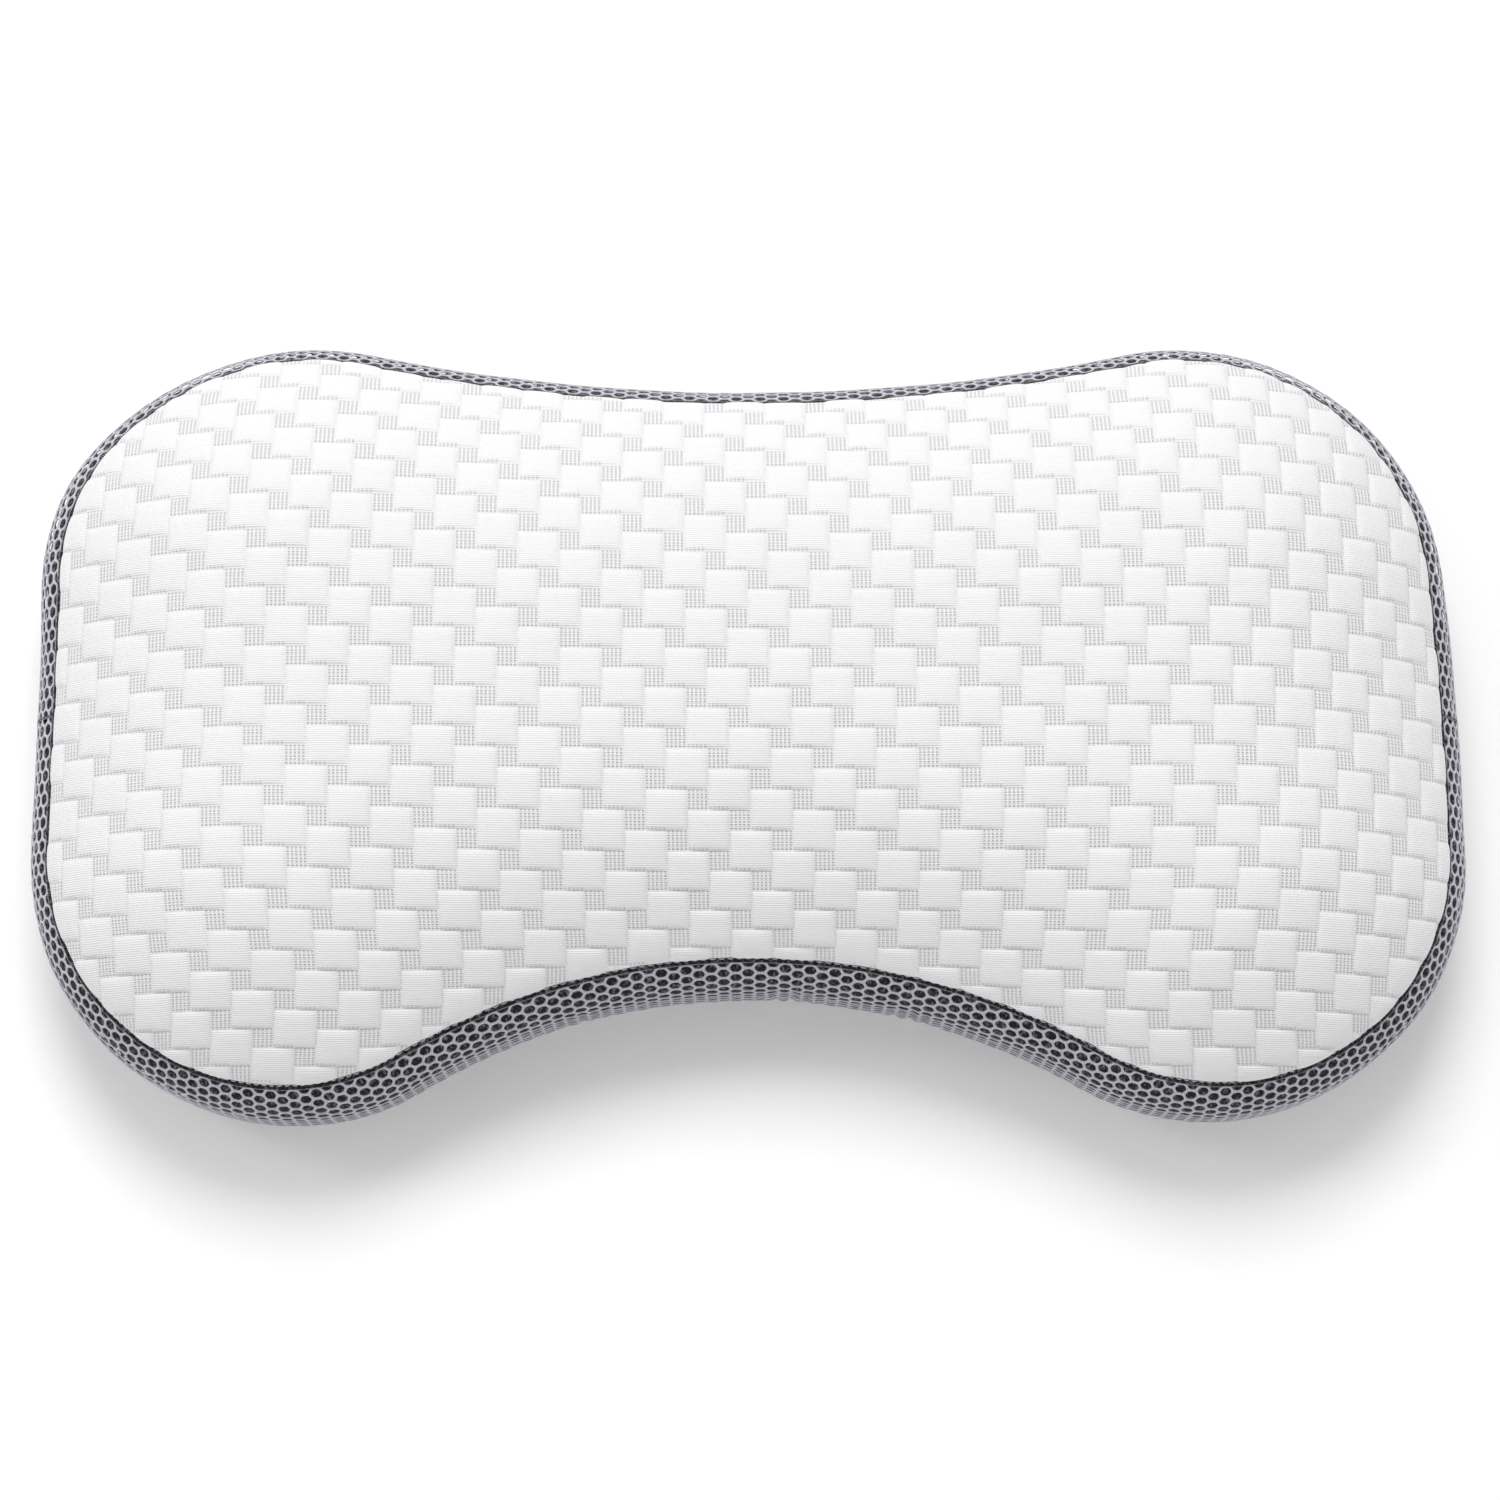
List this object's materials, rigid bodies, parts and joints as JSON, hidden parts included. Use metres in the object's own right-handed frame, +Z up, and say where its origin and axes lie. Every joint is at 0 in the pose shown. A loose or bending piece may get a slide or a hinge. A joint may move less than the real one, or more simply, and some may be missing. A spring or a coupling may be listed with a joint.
{
  "type": "contoured neck support pillow",
  "caption": "Contoured memory-foam neck pillow with two raised lobes, neck hollow, quilted knit top, open-mesh side band and rear zip.",
  "frame": {"origin": "middle of the underside, where the pillow rests", "axes": "+X along the pillow's length, +Y away from the neck hollow, +Z up"},
  "size_m": [0.6, 0.33, 0.11],
  "materials": {
    "quilted_knit": "soft quilted knit",
    "plain_knit": "plain warp knit",
    "grey_net": "open hexagonal polyester mesh",
    "spacer_backing": "dark spacer yarn",
    "white_thread": "spun polyester thread",
    "grey_thread": "spun polyester thread",
    "zip_tape": "woven tape",
    "zip_coil": "nylon coil",
    "zip_metal": "satin",
    "label_satin": "satin ribbon",
    "liner_knit": "thin knit",
    "memory_foam": "open-cell viscoelastic foam"
  },
  "bodies": {
    "pillow": {"top_panel": "quilted_knit", "bottom_panel": "plain_knit", "front_band_net": "grey_net", "rear_band_net": "grey_net", "front_band_backing": "spacer_backing", "rear_band_backing": "spacer_backing", "top_seam_thread": "white_thread", "bottom_seam_thread": "grey_thread", "side_seam_threads": "grey_thread", "zip_tape_upper": "zip_tape", "zip_tape_lower": "zip_tape", "zip_coil_upper": "zip_coil", "zip_coil_lower": "zip_coil", "zip_top_stops": "zip_metal", "zip_bottom_stop": "zip_metal", "zip_stitching": "grey_thread", "care_label": "label_satin", "liner_top": "liner_knit", "liner_bottom": "liner_knit", "liner_seam_thread": "white_thread", "foam_base": "memory_foam", "foam_insert": "memory_foam", "foam_top": "memory_foam"},
    "slider": {"zip_slider": "zip_metal"},
    "pull": {"zip_pull": "zip_metal"}
  },
  "joints": [
    {"name": "zip_travel", "type": "hinge", "parent": "pillow", "child": "slider", "pos_m": [0, 0.93376, 0.031], "axis": [0, 0, -1], "range_deg": [0, 18.47]},
    {"name": "pull_swing", "type": "hinge", "parent": "slider", "child": "pull", "pos_m": [0.12593, 0.15927, 0.031], "axis": [0, 0, 1], "range_deg": [0, 165]}
  ]
}
